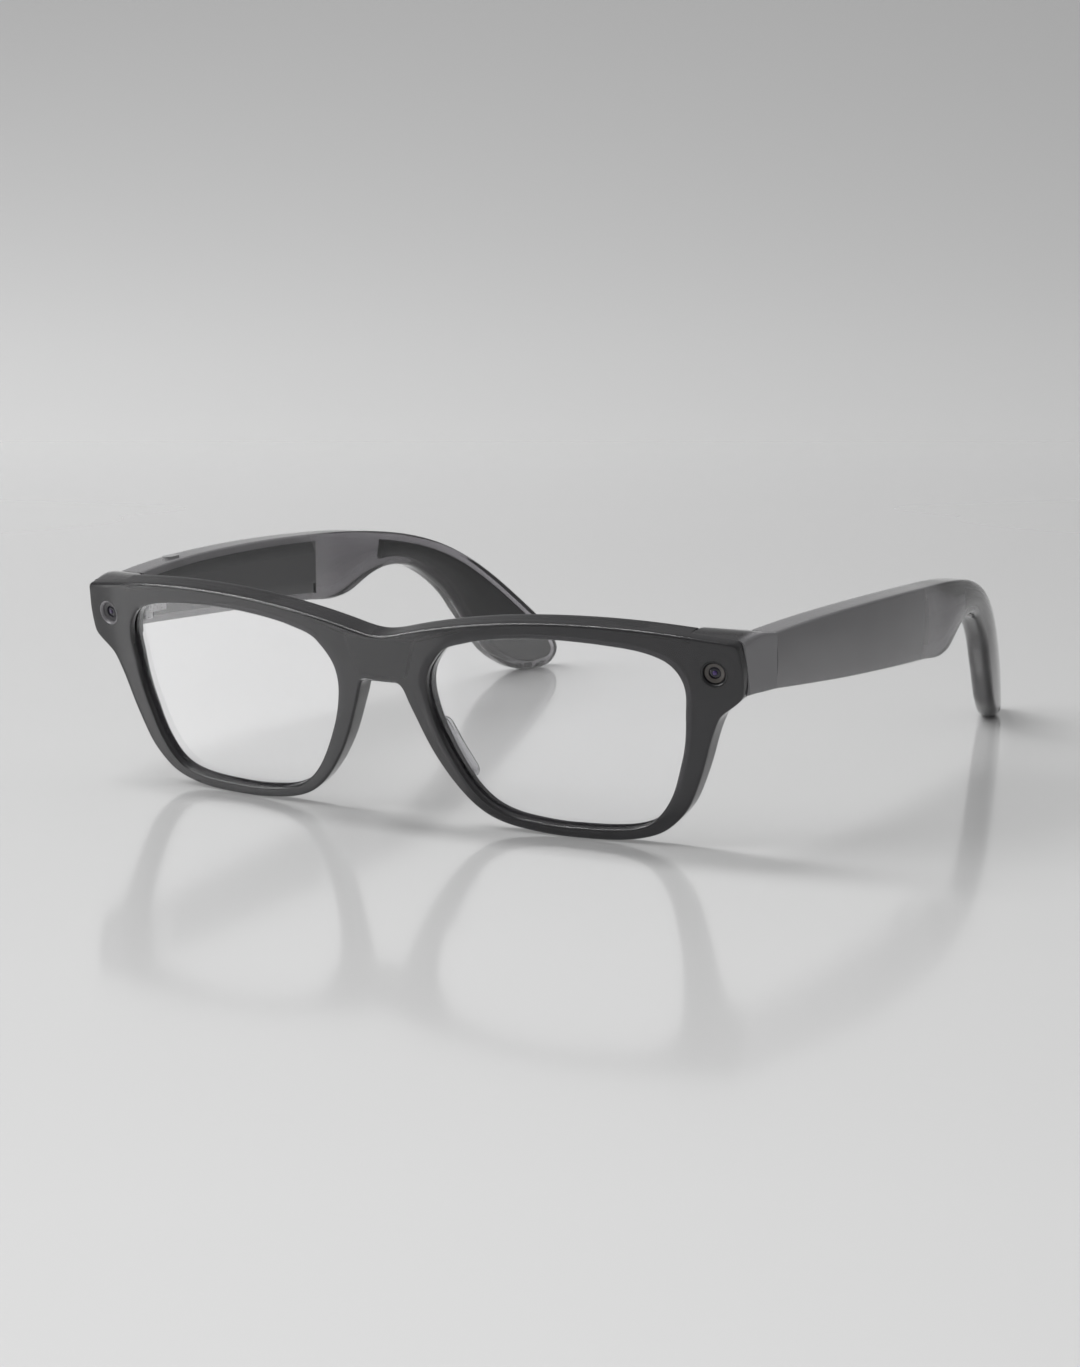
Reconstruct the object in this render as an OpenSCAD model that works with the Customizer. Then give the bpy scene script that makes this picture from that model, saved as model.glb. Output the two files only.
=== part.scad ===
// Smart glasses: full-rim eyeglasses with a camera, a capture light, open-ear
// speakers and folding temples.  Millimetres, Z up, the front faces -Y.
// Left and right are the wearer's: left is +X.  The glasses stand on the lower
// rims and on the two temple tips, all at z = 0.  The origin is the middle of
// their length and width at that level.

/* [Overall size] */
// Half the width of the front, measured at its outer corners.
half_w = 75.45; // [71:0.05:80]
// Height of the front along its own slope.
front_h = 44.15; // [41.5:0.05:47]
// Length of a temple from its front face to the end of the ear hook.
temple_len = 152; // [140:1:162]

/* [Front] */
// Angle by which the lower edge of the front lies behind the upper edge.
lean = 12.1; // [10:0.1:14]
// Radius of the curve of the front, seen along its height, at the usual width.
wrap_r = 363; // [330:1:420]
// Depth of the rim at its lower edge.
rim_depth = 4.2; // [4:0.1:4.8]
// Angle by which the rear of the front diverges, so that the top bar is deeper.
rear_flare = 2.3; // [2:0.1:3]
// Depth of the front wall that covers the end blocks.
end_wall = 2.1; // [1.9:0.1:2.6]

/* [Lenses] */
// Thickness of a lens.
lens_t = 1.8; // [1.4:0.1:2]
// Depth from the front face of the rim to the front face of a lens.
lens_set = 1.35; // [1.2:0.05:1.4]
// How far the lens edge reaches into the groove of the rim.
lens_bite = 0.7; // [0.5:0.1:0.9]

/* [Camera and light] */
// Distance from the outer corner of the front to the centre of a module.
module_in = 5.4; // [5.2:0.1:5.8]
// Height of a module centre on the slope of the front.
module_s = 35.2; // [34.5:0.1:36]
// Radius of a trim ring.
trim_r = 2.6; // [2.2:0.1:2.9]
// Width of a trim ring across its flat.
trim_w = 0.6; // [0.4:0.1:0.8]
// Depth of a trim ring.
trim_t = 1.2; // [1:0.1:1.4]
// Radius of the flange that blocks stray light behind the front wall.
flange_r = 4; // [3.8:0.1:4.1]
// Radius of a module barrel.
barrel_r = 3.3; // [3:0.1:3.4]
// Length of a module barrel behind its flange.
barrel_l = 2.4; // [2:0.1:2.6]

/* [Top bar and bridge] */
// Width of the cable channel in the top bar.
channel_w = 1.1; // [1:0.05:1.2]
// Plastic left between the lens groove and the cable channel.
channel_web = 0.2; // [0.1:0.05:0.3]
// Thickness of the strip that closes the channel.
strip_t = 0.8; // [0.6:0.1:0.9]
// Half the width of the bridge insert at its upper edge.
insert_top = 7.8; // [7:0.1:8.2]
// Half the width of the bridge insert at its lower edge.
insert_low = 5.1; // [4.6:0.1:5.4]
// Plastic in front of the bridge insert.
insert_cover = 1.2; // [1:0.1:1.5]
// How far a nose pad stands out behind the rim.
pad_depth = 2.8; // [2:0.1:3.2]

/* [Hinges] */
// Distance from the lower front edge back to the seam between end block and temple.
seam_d = 12; // [11.8:0.1:12.4]
// Distance from the outer corner of the front in to the hinge pin.
pin_in = 6.05; // [6:0.05:6.2]
// Radius of a hinge pin.
pin_r = 0.7; // [0.6:0.05:0.8]
// Radius of a hinge knuckle.
knuckle_r = 1.5; // [1.4:0.05:1.6]
// Height of the stack of five knuckles.
stack_h = 7.5; // [7:0.1:8]
// Thickness of a hinge leaf.
leaf_t = 1.2; // [1:0.1:1.3]

/* [Temples] */
// How far a temple bows out beyond the front at its widest place.
bow_out = 4.45; // [4:0.05:5]
// Thickness of a temple at its widest place.
temple_t = 6.6; // [6.4:0.1:7]
// Radius of the bow in front of its widest place.
bow_front_r = 400; // [370:1:430]
// Radius of the outer face behind the widest place.
bow_rear_r = 300; // [290:1:320]
// How much larger the radius of the inner face is behind the widest place.
bow_taper = 15; // [10:1:18]
// Plastic around the hollow of a temple.
wall = 1.5; // [1.3:0.1:1.6]
// Thickness of the inner cover.
cover_t = 1.3; // [1.2:0.1:1.4]
// Plastic above and below the core of the ear hook.
hook_wall = 2.1; // [1.9:0.1:2.4]
// Thickness of the core of the ear hook.
core_t = 2.7; // [2.4:0.1:2.9]

/* [Controls] */
// Length of the capture button along the temple.
button_l = 4.6; // [4.2:0.1:5]
// Width of the capture button.
button_w = 2.3; // [2.1:0.1:2.4]
// How far the capture button stands out of the temple.
button_out = 0.5; // [0.45:0.05:0.7]
// Travel of the capture button.
button_travel = 0.35; // [0.2:0.05:0.4]
// Length of the power switch knob.
knob_l = 4.2; // [3.8:0.1:4.6]
// Height of the power switch knob.
knob_h = 1.8; // [1.6:0.1:2]
// Travel of the power switch.
switch_travel = 2; // [1.6:0.1:2.2]

/* [Fits] */
// Gap between pieces that are fixed to each other.
fit_gap = 0.05; // [0.03:0.01:0.08]
// Gap at the seam between end block and temple.
seam_gap = 0.15; // [0.12:0.01:0.2]
// Radial gap between a hinge pin and the knuckles that turn on it.
run_gap = 0.04; // [0.03:0.01:0.06]
// Gap around the button and the switch knob.
slide_gap = 0.2; // [0.15:0.05:0.25]

/* [Hidden] */
$fn = 96;
eps = 0.01;
kx = half_w / 75.45;
kz = front_h / 44.15;
ky = temple_len / 152;
wrap = wrap_r * kx * kx;
steps = 6;

// The lower front edge lies this far ahead of the middle of the glasses.
front_y = -(seam_d + seam_gap + 151.7 * ky - 40.47 * kz * sin(lean)) / 2;
seam_y = front_y + seam_d;
sink = 0.46 * kz;
channel_n = lens_set + lens_t + fit_gap + channel_web;
module_x = half_w - module_in;
module_a = asin(module_x / wrap);
module_n = wrap - sqrt(wrap * wrap - module_x * module_x);
pin_x = half_w - pin_in;
pin_y = seam_y + fit_gap;
block_top = 42 * kz;
block_low = 31.2 * kz;
block_x = 63.9 * kx + 1.3;
hinge_z = (block_top + block_low) / 2;
knuckle_h = stack_h / 5;
temple_y = seam_y + seam_gap;
bow_y = seam_y + 48 * ky;
bow_x = half_w + bow_out;
leaf_x = pin_x + 0.9;
leaf_h = stack_h - 1.2;
leaf_front_l = 4;
leaf_rear_l = 8.4;
tray_y0 = temple_y + 4.6;
tray_y1 = seam_y + 68 * ky;
core_y = seam_y + 93 * ky;
end_sag = wrap - sqrt(wrap * wrap - half_w * half_w);
barrel_y = front_y + (module_n + end_wall) * cos(lean) - module_s * kz * sin(lean);
barrel_z = module_s * kz * cos(lean) + (module_n + end_wall) * sin(lean) - sink;
board_t = 0.8;
flange_t = 0.8;
button_y = seam_y + 16.3 * ky;
button_x = inner_x(button_y) + temple_t / 2;
switch_y = seam_y + 13 * ky;
switch_x = inner_x(switch_y);
switch_a = asin((bow_y - switch_y) / bow_front_r);
switch_z = hinge_z - 0.4;
speaker_y0 = seam_y + 56 * ky;
speaker_y1 = tray_y1 - 1;
battery_y0 = seam_y + 33 * ky;
battery_y1 = speaker_y0 - 1;
grille_y = seam_y + 61.5 * ky;

// Outline of the front from the middle of the top edge, round the corner, along
// the lower rim and the nose, to the middle of the bridge: x, height, heading.
front_knots = [
    [0, 39, 0], [8, 40.5, 13], [22, 43, 7.5], [41, 44.15, 0], [60, 43.1, -6.5],
    [73.9, 41.2, -9], [75.05, 39.9, -86], [75.45, 35, -90], [75.1, 30.9, -101],
    [73.4, 28.8, -140], [69.9, 25.6, -117], [67.2, 18.6, -107], [63.6, 9.3, -115],
    [58.5, 3.2, -142], [52.5, 0.75, -168], [42, 0, -180], [30, 0.75, 172],
    [21.5, 2.9, 155], [15.2, 8.05, 130], [10.4, 15.1, 119], [7.3, 22, 112],
    [5.4, 26.9, 108], [3.4, 29.35, 180], [0, 29.35, 180]
];

// Lens opening, the same way round, from the middle of its upper edge.
lens_knots = [
    [37, 40.85, 0], [52, 39.85, -7], [60.3, 37.6, -28], [63.9, 32.8, -76],
    [63.7, 26, -94], [62.1, 17, -108], [59, 8.8, -121], [54.2, 3.85, -155],
    [47, 2.35, -176], [38, 2.2, -180], [29, 3, 172], [22.5, 5, 152],
    [17.3, 9.85, 125], [13, 17.9, 114], [10.5, 26.2, 99], [10.7, 31.3, 75],
    [14, 36.4, 48], [20, 39, 16], [28, 40.35, 6], [37, 40.85, 0]
];

// Middle line of the cable channel, from the bridge to the end block.
channel_knots = [
    [0, 36.9, 0], [8, 37.9, 13], [22, 41.6, 8], [41, 42.9, 0], [55, 42, -6],
    [66.6, 40.2, -10]
];

// Side view of a temple: distance behind the seam, height, heading.
temple_knots = [
    [0, 42, 4], [16, 42.75, 1.5], [32, 42.85, -0.5], [63, 41.95, -3],
    [85.7, 40.3, -6.5], [105.6, 37.05, -14], [118, 32.8, -24.5], [131, 25.1, -36],
    [144.3, 14.3, -41], [151.2, 6.4, -62], [151.1, 2.3, -122], [144, 0, -180],
    [135.5, 2.2, 150], [128.5, 7.3, 131], [119, 18.8, 127], [110.9, 26.2, 146],
    [103, 30.1, 165], [96, 31.05, 180], [88.5, 29.7, -162], [82, 27.1, -160],
    [75.5, 26, -178], [64, 26.9, 176.4], [28, 29.15, 176.4], [0, 31.1, 176.2]
];

// Outline of a nose pad on the rear of the rim.
pad_knots = [
    [9.3, 19.6, 95], [11, 21.6, 0], [12.9, 19.8, -65], [15.2, 14.4, -65],
    [17, 10.4, -75], [15.6, 8.7, -180], [13.6, 10.6, 121], [11.2, 14.8, 119],
    [9.3, 19.6, 95]
];

front_half = outline([for (k = front_knots) [k[0] * kx, k[1] * kz, k[2]]]);
front_outline = concat(front_half, flipped(front_half));
// The top edge of the front next to an end block, carried on outwards.
block_front = concat(
    [[60 * kx, 0]], [for (i = [4 * steps : 5 * steps]) front_half[i]],
    [[90 * kx, 38.65 * kz], [90 * kx, 0]]
);
lens_outline = outline([for (k = lens_knots) [k[0] * kx, k[1] * kz, k[2]]]);
channel_line = outline([for (k = channel_knots) [k[0] * kx, k[1] * kz, k[2]]]);
pad_outline = outline([for (k = pad_knots) [k[0] * kx, k[1] * kz, k[2]]]);
temple_outline = outline([for (k = temple_knots) [temple_y + k[0] * ky, k[1] * kz, k[2]]]);
button_top = temple_top(button_y) + button_out;
flange_top = temple_top(button_y) - wall - 0.35;
flange_h = 0.6;

// Smooth curve through knots that each have a position and a heading.
function outline(knots) = concat(
    [for (i = [0 : len(knots) - 2]) each piece(knots[i], knots[i + 1])],
    norm(at(knots[0]) - at(knots[len(knots) - 1])) < eps ? [] : [at(knots[len(knots) - 1])]
);
function at(k) = [k[0], k[1]];
function turn(a, b) = abs((b - a + 900) % 360 - 180);
function reach(a, b) = norm(at(a) - at(b))
    * (turn(a[2], b[2]) < 1 ? 1 / 3 : 2 / 3 * tan(turn(a[2], b[2]) / 4) / sin(turn(a[2], b[2]) / 2));
function piece(a, b) = let (
    p = at(a) + reach(a, b) * [cos(a[2]), sin(a[2])],
    q = at(b) - reach(a, b) * [cos(b[2]), sin(b[2])]
) [for (i = [0 : steps - 1]) let (t = i / steps, u = 1 - t)
    u * u * u * at(a) + 3 * u * u * t * p + 3 * u * t * t * q + t * t * t * at(b)];

// The mirrored half of an outline, in reverse order, without the shared ends.
function flipped(p) = [for (i = [len(p) - 2 : -1 : 1]) [-p[i][0], p[i][1]]];

// A closed clockwise outline moved outwards by d.
function grown(p, d) = [for (i = [0 : len(p) - 1]) let (
    v = p[(i + 1) % len(p)] - p[(i + len(p) - 1) % len(p)]
) p[i] + d * [-v[1], v[0]] / norm(v)];

// A band of width w along an open line.
function band(p, w) = let (
    n = len(p) - 1,
    v = [for (i = [0 : n]) p[min(i + 1, n)] - p[max(i - 1, 0)]],
    s = [for (i = [0 : n]) w / 2 * [-v[i][1], v[i][0]] / norm(v[i])]
) concat([for (i = [0 : n]) p[i] + s[i]], [for (i = [n : -1 : 0]) p[i] - s[i]]);

// Heights and widths of a temple.
function temple_top(y) = lookup(y, [for (i = [0 : 5 * steps]) temple_outline[i]]);
function inner_x(y) = bow_x - temple_t - bow_front_r
    + sqrt(bow_front_r * bow_front_r - pow(bow_y - y, 2));

// ---------- Placing ----------

// Puts something drawn on the slope of the front into place.
module sloped() {
    translate([0, front_y, -sink])
        rotate([lean, 0, 0])
            children();
}

// Everything behind the front face by more than n.
module behind(n) {
    translate([0, wrap, -10])
        cylinder(r = wrap - n, h = front_h + 20, $fn = 360);
}

// Everything behind the rear face of the front, moved back by n.
module behind_rear(n) {
    translate([0, wrap, 0])
        rotate([-rear_flare, 0, 0])
            translate([0, 0, -60])
                cylinder(r = wrap - rim_depth - n, h = front_h + 120, $fn = 360);
}

// An outline drawn on the front, as a bar through the full depth.
module through(points) {
    rotate([90, 0, 0])
        translate([0, 0, -40])
            linear_extrude(60)
                polygon(points);
}

// A frame of axes on the front face at a module, with Y pointing inwards.
module at_module() {
    sloped()
        translate([0, wrap, module_s * kz])
            rotate([0, 0, module_a])
                translate([0, -wrap, 0])
                    rotate([-90, 0, 0])
                        children();
}

// The axis of a module barrel, straight back behind the front wall.
module at_barrel() {
    translate([module_x, barrel_y, barrel_z])
        rotate([-90, 0, 0])
            children();
}

module both() {
    children();
    mirror([1, 0, 0])
        children();
}

module right() {
    mirror([1, 0, 0])
        children();
}

// ---------- Front ----------

module lens_opening(grow) {
    through(grown(lens_outline, grow));
}

module bridge_shape(trim) {
    through([
        [-insert_top * kx + trim, 38.1 * kz - trim], [insert_top * kx - trim, 38.1 * kz - trim],
        [insert_low * kx - trim, 30.3 * kz + trim], [-insert_low * kx + trim, 30.3 * kz + trim]
    ]);
}

module channel_shape(w) {
    both()
        through(band(channel_line, w));
}

// The front with its rebates for the end blocks, before boring.
module front_blank() {
    difference() {
        intersection() {
            through(front_outline);
            behind(0);
        }
        behind_rear(0);
        both()
            intersection() {
                translate([block_x, -20, 29.8 * kz])
                    cube([40, 60, 30]);
                behind(end_wall);
            }
    }
}

module front_frame() {
    color("#3c3b3e")
        difference() {
            sloped()
                difference() {
                    front_blank();
                    both() {
                        lens_opening(0);
                        difference() {
                            intersection() {
                                lens_opening(lens_bite + fit_gap);
                                behind(lens_set - fit_gap);
                            }
                            behind(lens_set + lens_t + fit_gap);
                        }
                    }
                    intersection() {
                        channel_shape(channel_w);
                        behind(channel_n);
                    }
                    intersection() {
                        bridge_shape(0);
                        behind(insert_cover);
                    }
                }
            both() {
                at_module()
                    translate([0, 0, -1])
                        cylinder(r = trim_r + fit_gap, h = 1 + trim_t);
                at_module()
                    cylinder(r = trim_r - trim_w, h = end_wall + 1);
            }
        }
}

module lens() {
    color("#d8dcde", 0.4)
        sloped()
            difference() {
                intersection() {
                    lens_opening(lens_bite);
                    behind(lens_set);
                }
                behind(lens_set + lens_t);
            }
}

module lens_left() lens();
module lens_right() right() lens();

// Plan of an end block: flush with the corner, hollowed towards the rim.
module block_plan() {
    difference() {
        polygon([
            [block_x + fit_gap, front_y - 5], [half_w, front_y - 5], [half_w, front_y + 2],
            [half_w + 1.5, seam_y], [block_x + fit_gap, seam_y]
        ]);
        translate([pin_x - 7.9, seam_y + 1.5])
            circle(r = 9);
    }
}

module end_block() {
    color("#6f6e71")
        difference() {
            intersection() {
                translate([0, 0, block_low])
                    linear_extrude(20)
                        block_plan();
                sloped()
                    behind(end_wall + fit_gap);
                sloped()
                    through(block_front);
                across()
                    polygon([
                        [front_y - 5, block_low], [front_y - 5, block_top + 2.7],
                        [seam_y, block_top], [seam_y, block_low]
                    ]);
            }
            sloped()
                front_blank();
            sloped()
                intersection() {
                    channel_shape(channel_w);
                    behind(channel_n);
                }
            at_barrel()
                translate([0, 0, -2])
                    cylinder(r = flange_r + fit_gap, h = 2 + flange_t + 0.2);
            at_barrel()
                cylinder(r = barrel_r + fit_gap, h = flange_t + barrel_l + board_t + 0.8);
            knuckle_room();
            translate([leaf_x - fit_gap, seam_y - leaf_front_l - fit_gap, hinge_z - leaf_h / 2 - fit_gap])
                cube([leaf_t + 2 * fit_gap, leaf_front_l + 1, leaf_h + 2 * fit_gap]);
        }
}

module end_block_left() end_block();
module end_block_right() right() end_block();

module rear_strip() {
    color("#4a494c")
        difference() {
            sloped()
                difference() {
                    intersection() {
                        union() {
                            channel_shape(channel_w - 2 * fit_gap);
                            bridge_shape(fit_gap);
                        }
                        behind_rear(-strip_t);
                        translate([-block_x - 1, -20, 0])
                            cube([2 * block_x + 2, 60, 60]);
                    }
                    behind_rear(0);
                }
            contact_row(0.5 + fit_gap);
        }
}

module bridge_insert() {
    color("#161618")
        sloped()
            difference() {
                intersection() {
                    bridge_shape(fit_gap);
                    behind(insert_cover + fit_gap);
                }
                behind(insert_cover + 2.6);
                intersection() {
                    channel_shape(channel_w);
                    behind(channel_n);
                }
            }
}

module flat_cable() {
    color("#8a6a2c")
        sloped()
            difference() {
                intersection() {
                    channel_shape(0.4);
                    behind(channel_n + fit_gap);
                    translate([-block_x, -20, 0])
                        cube([2 * block_x, 60, 60]);
                }
                behind_rear(-strip_t - 0.3);
            }
}

// Three round contacts side by side on the rear of the bridge.
module contact_row(r) {
    sloped()
        for (i = [-1 : 1])
            translate([i * 2.6, rim_depth - 0.2, 33.2 * kz])
                rotate([-90, 0, 0])
                    cylinder(r = r, h = 2.6);
}

module charge_contacts() {
    color("#c9a24a")
        difference() {
            union() {
                contact_row(0.5);
                sloped()
                    translate([-3.7, rim_depth - 0.35, 33.2 * kz - 1])
                        cube([7.4, 0.3, 2]);
            }
            sloped()
                behind_rear(0.15);
        }
}

// Nose pad: a domed strip along the nose side of the rim.
module nose_pad() {
    color("#9b9a9d")
        sloped()
            difference() {
                intersection() {
                    through(pad_outline);
                    behind_rear(0);
                    translate([12.6 * kx, rim_depth + pad_depth - 11, 14.8 * kz])
                        sphere(r = 11.8);
                }
                behind_rear(pad_depth);
            }
}

module nose_pad_left() nose_pad();
module nose_pad_right() right() nose_pad();

// ---------- Camera and light ----------

module trim_ring() {
    at_module()
        difference() {
            cylinder(r = trim_r, h = trim_t);
            translate([0, 0, -1])
                cylinder(r = trim_r - trim_w, h = trim_t + 2);
            translate([0, 0, -0.3])
                cylinder(r1 = trim_r, r2 = trim_r - trim_w, h = 0.9);
        }
}

module window_disc(t) {
    at_module()
        translate([0, 0, trim_t - t])
            cylinder(r = trim_r - trim_w - fit_gap, h = t);
}

module barrel() {
    difference() {
        at_barrel()
            union() {
                translate([0, 0, -1])
                    cylinder(r = flange_r, h = 1 + flange_t);
                cylinder(r = barrel_r, h = flange_t + barrel_l);
            }
        front_wall_space();
    }
}

// The space in front of the rear face of the front wall.
module front_wall_space() {
    sloped()
        difference() {
            translate([module_x - 8, -20, module_s * kz - 10])
                cube([16, 40, 20]);
            behind(end_wall + fit_gap);
        }
}

module module_board() {
    at_barrel()
        translate([-2.3, -2.3, flange_t + barrel_l + fit_gap])
            cube([4.6, 4.6, board_t]);
}

module camera_trim() color("#232326") trim_ring();
module camera_lens() color("#3a2a4a") window_disc(0.8);
module camera_barrel() color("#17171a") barrel();
module camera_board() color("#1f4f3a") module_board();
module light_trim() color("#8c8a90") right() trim_ring();
module light_window() color("#cfc6dc") right() window_disc(0.6);
module light_housing() color("#17171a") right() barrel();
module light_board() color("#1f4f3a") right() module_board();

// ---------- Hinges ----------

module on_pin() {
    translate([pin_x, pin_y, hinge_z - stack_h / 2])
        children();
}

// Space turned out around the knuckles.
module knuckle_room() {
    on_pin()
        translate([0, 0, -0.3])
            cylinder(r = knuckle_r + 0.3, h = stack_h + 1);
}

// Knuckles number first, first + 2, ... of the stack of five.
module knuckles(first) {
    on_pin()
        for (i = [first : 2 : 4])
            translate([0, 0, i * knuckle_h + fit_gap / 2])
                cylinder(r = knuckle_r, h = knuckle_h - fit_gap);
}

module knuckle_cuts(first) {
    on_pin()
        for (i = [first : 2 : 4])
            translate([0, 0, i * knuckle_h - fit_gap / 2])
                cylinder(r = knuckle_r + 0.1, h = knuckle_h + fit_gap);
}

module hinge_leaf_front() {
    color("#b9bbbe")
        difference() {
            union() {
                knuckles(0);
                translate([leaf_x, seam_y - leaf_front_l, hinge_z - leaf_h / 2])
                    cube([leaf_t, leaf_front_l - 0.1, leaf_h]);
            }
            knuckle_cuts(1);
            on_pin()
                translate([0, 0, -1])
                    cylinder(r = pin_r, h = stack_h + 2);
        }
}

module hinge_leaf_temple() {
    color("#b9bbbe")
        difference() {
            union() {
                knuckles(1);
                translate([leaf_x, temple_y, hinge_z - leaf_h / 2])
                    cube([leaf_t, leaf_rear_l, leaf_h]);
            }
            knuckle_cuts(0);
            on_pin()
                translate([0, 0, -1])
                    cylinder(r = pin_r + run_gap, h = stack_h + 2);
        }
}

module hinge_pin() {
    color("#8f9194")
        on_pin()
            difference() {
                union() {
                    cylinder(r = pin_r, h = stack_h);
                    translate([0, 0, stack_h])
                        cylinder(r = pin_r + 0.4, h = 0.5);
                }
                translate([-2, -0.12, stack_h + 0.25])
                    cube([4, 0.24, 1]);
            }
}

module hinge_leaf_front_left() hinge_leaf_front();
module hinge_leaf_front_right() right() hinge_leaf_front();
module hinge_leaf_temple_left() hinge_leaf_temple();
module hinge_leaf_temple_right() right() hinge_leaf_temple();
module hinge_pin_left() hinge_pin();
module hinge_pin_right() right() hinge_pin();

// ---------- Temples ----------

// Plan area inboard of a bowed face through x at its widest place.
module bow_area(x, front_r, rear_r) {
    intersection() {
        translate([x - front_r, bow_y])
            circle(r = front_r, $fn = 360);
        translate([0, bow_y - 200])
            square([200, 200]);
    }
    intersection() {
        translate([x - rear_r, bow_y])
            circle(r = rear_r, $fn = 360);
        translate([0, bow_y])
            square([200, 200]);
    }
}

// Bowed slab between depths a and b below the outer face.
module ribbon(a, b) {
    translate([0, 0, -10])
        linear_extrude(80)
            difference() {
                bow_area(bow_x - a, bow_front_r - a, bow_rear_r - a);
                bow_area(bow_x - b, bow_front_r - b, bow_rear_r - b);
            }
}

// Bowed slab between the outer face and the inner face moved out by c.
module full_ribbon(a, c) {
    translate([0, 0, -10])
        linear_extrude(80)
            difference() {
                bow_area(bow_x - a, bow_front_r - a, bow_rear_r - a);
                inner_area(c);
            }
}

module inner_area(c) {
    bow_area(bow_x - temple_t + c, bow_front_r + c, bow_rear_r + bow_taper + c);
}

// A side view, as a bar across the temple.
module across() {
    rotate([90, 0, 90])
        translate([0, 0, 40])
            linear_extrude(60)
                children();
}

module side_view(inset) {
    polygon(grown(temple_outline, -inset));
}

// The part of the side view between two distances.
module side_range(inset, y0, y1) {
    intersection() {
        side_view(inset);
        translate([y0, 0])
            square([y1 - y0, 60]);
    }
}

// Side view of the core with its tang, grown by g.
module core_view(g) {
    hook = [for (p = grown(temple_outline, g - hook_wall)) if (p[0] > core_y + 1) p];
    polygon(concat(
        [[tray_y1 - 1, 35.2 * kz + g], [core_y - g, 35.2 * kz + g], [core_y - g, hook[0][1] + 0.1]],
        hook,
        [[core_y - g, hook[len(hook) - 1][1]], [core_y - g, 34 * kz - g], [tray_y1 - 1, 34 * kz - g]]
    ));
}

// Slot for the hinge leaf, open towards the head.
module leaf_space() {
    translate([leaf_x - 4, temple_y - 1, hinge_z - leaf_h / 2 - fit_gap])
        cube([leaf_t + 4 + fit_gap, leaf_rear_l + 1 + fit_gap, leaf_h + 2 * fit_gap]);
}

module temple_shell() {
    difference() {
        intersection() {
            across()
                side_view(0);
            full_ribbon(0, 0);
        }
        intersection() {
            across()
                side_range(wall, tray_y0, tray_y1);
            full_ribbon(wall, -2);
        }
        intersection() {
            across()
                core_view(fit_gap);
            ribbon(wall - fit_gap, wall + core_t + fit_gap);
        }
        knuckle_room();
        leaf_space();
        at_grille()
            translate([-1.1 - fit_gap, -4.5 - fit_gap, -1])
                cube([2.2 + 2 * fit_gap, 9 + 2 * fit_gap, 1.8 + fit_gap]);
        at_grille()
            translate([-0.8, -4, 0])
                cube([1.6, 8, 3]);
    }
}

module temple_cover() {
    intersection() {
        across()
            side_range(wall + fit_gap, tray_y0 + fit_gap, tray_y1 - fit_gap);
        difference() {
            full_ribbon(wall, 0);
            full_ribbon(wall - 1, cover_t);
        }
    }
}

module temple_core() {
    color("#1d1d20")
        intersection() {
            across()
                core_view(0);
            ribbon(wall, wall + core_t);
        }
}

module battery(y0, y1) {
    color("#35363a")
        intersection() {
            across()
                side_range(wall + 0.8, y0, y1);
            ribbon(wall + 0.2, wall + 3);
        }
}

module speaker() {
    color("#26272a")
        intersection() {
            across()
                side_range(wall + 1.6, speaker_y0, speaker_y1);
            ribbon(wall + 0.2, wall + 2.9);
        }
}

// A frame of axes on the lower face of a temple, with Z pointing in.
module at_grille() {
    translate([bow_x - temple_t / 2 - 0.25, grille_y, 27.06 * kz])
        rotate([-3.6, 0, 0])
            children();
}

module speaker_grille() {
    color("#1b1b1d")
        at_grille()
            difference() {
                translate([-1.1, -4.5, 0.1])
                    cube([2.2, 9, 0.7]);
                for (i = [-2 : 2])
                    translate([0, i * 1.6, -1])
                        cylinder(r = 0.5, h = 3, $fn = 32);
            }
}

// A frame of axes on the inner face at the power switch, with X pointing out.
module at_switch() {
    translate([switch_x, switch_y, switch_z])
        rotate([0, 0, -switch_a])
            children();
}

module temple_shell_left() color("#6b6a6d") temple_shell();
module temple_shell_right()
    color("#6b6a6d")
        right()
            difference() {
                temple_shell();
                at_button()
                    pill(button_l + 2 * slide_gap, button_w + 2 * slide_gap, 6);
                translate([button_x - 2, button_y - 4, flange_top - 4])
                    cube([4, 8, 4.15]);
            }

module temple_cover_left()
    color("#2b2b2e")
        difference() {
            temple_cover();
            leaf_space();
            at_switch()
                translate([-1, -knob_l / 2 - slide_gap, -knob_h / 2 - slide_gap])
                    cube([4, knob_l + switch_travel + 2 * slide_gap, knob_h + 2 * slide_gap]);
        }

module temple_cover_right()
    color("#2b2b2e")
        right()
            difference() {
                temple_cover();
                leaf_space();
            }

module temple_core_left() temple_core();
module temple_core_right() right() temple_core();
module battery_left() battery(battery_y0, battery_y1);
module battery_right() right() battery(battery_y0 - 6, battery_y1);
module speaker_left() speaker();
module speaker_right() right() speaker();
module speaker_grille_left() speaker_grille();
module speaker_grille_right() right() speaker_grille();

// Board along the outer wall with its two shielded chips.
module main_board() {
    color("#1f4f3a")
        intersection() {
            across()
                side_range(wall + 1, tray_y0 + 5.2, battery_y0 - 1);
            union() {
                ribbon(wall + 0.1, wall + 0.9);
                intersection() {
                    ribbon(wall + 0.1, wall + 2);
                    translate([bow_x - 12, battery_y0 - 11, hinge_z - 4])
                        cube([20, 8, 8]);
                }
            }
        }
}

module touch_strip() {
    color("#a5853f")
        right()
            intersection() {
                across()
                    side_range(wall + 2.4, tray_y0 + 1, battery_y0 - 7);
                ribbon(wall + 0.05, wall + 0.4);
            }
}

// ---------- Controls ----------

module at_button() {
    translate([button_x, button_y, 0])
        children();
}

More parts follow.
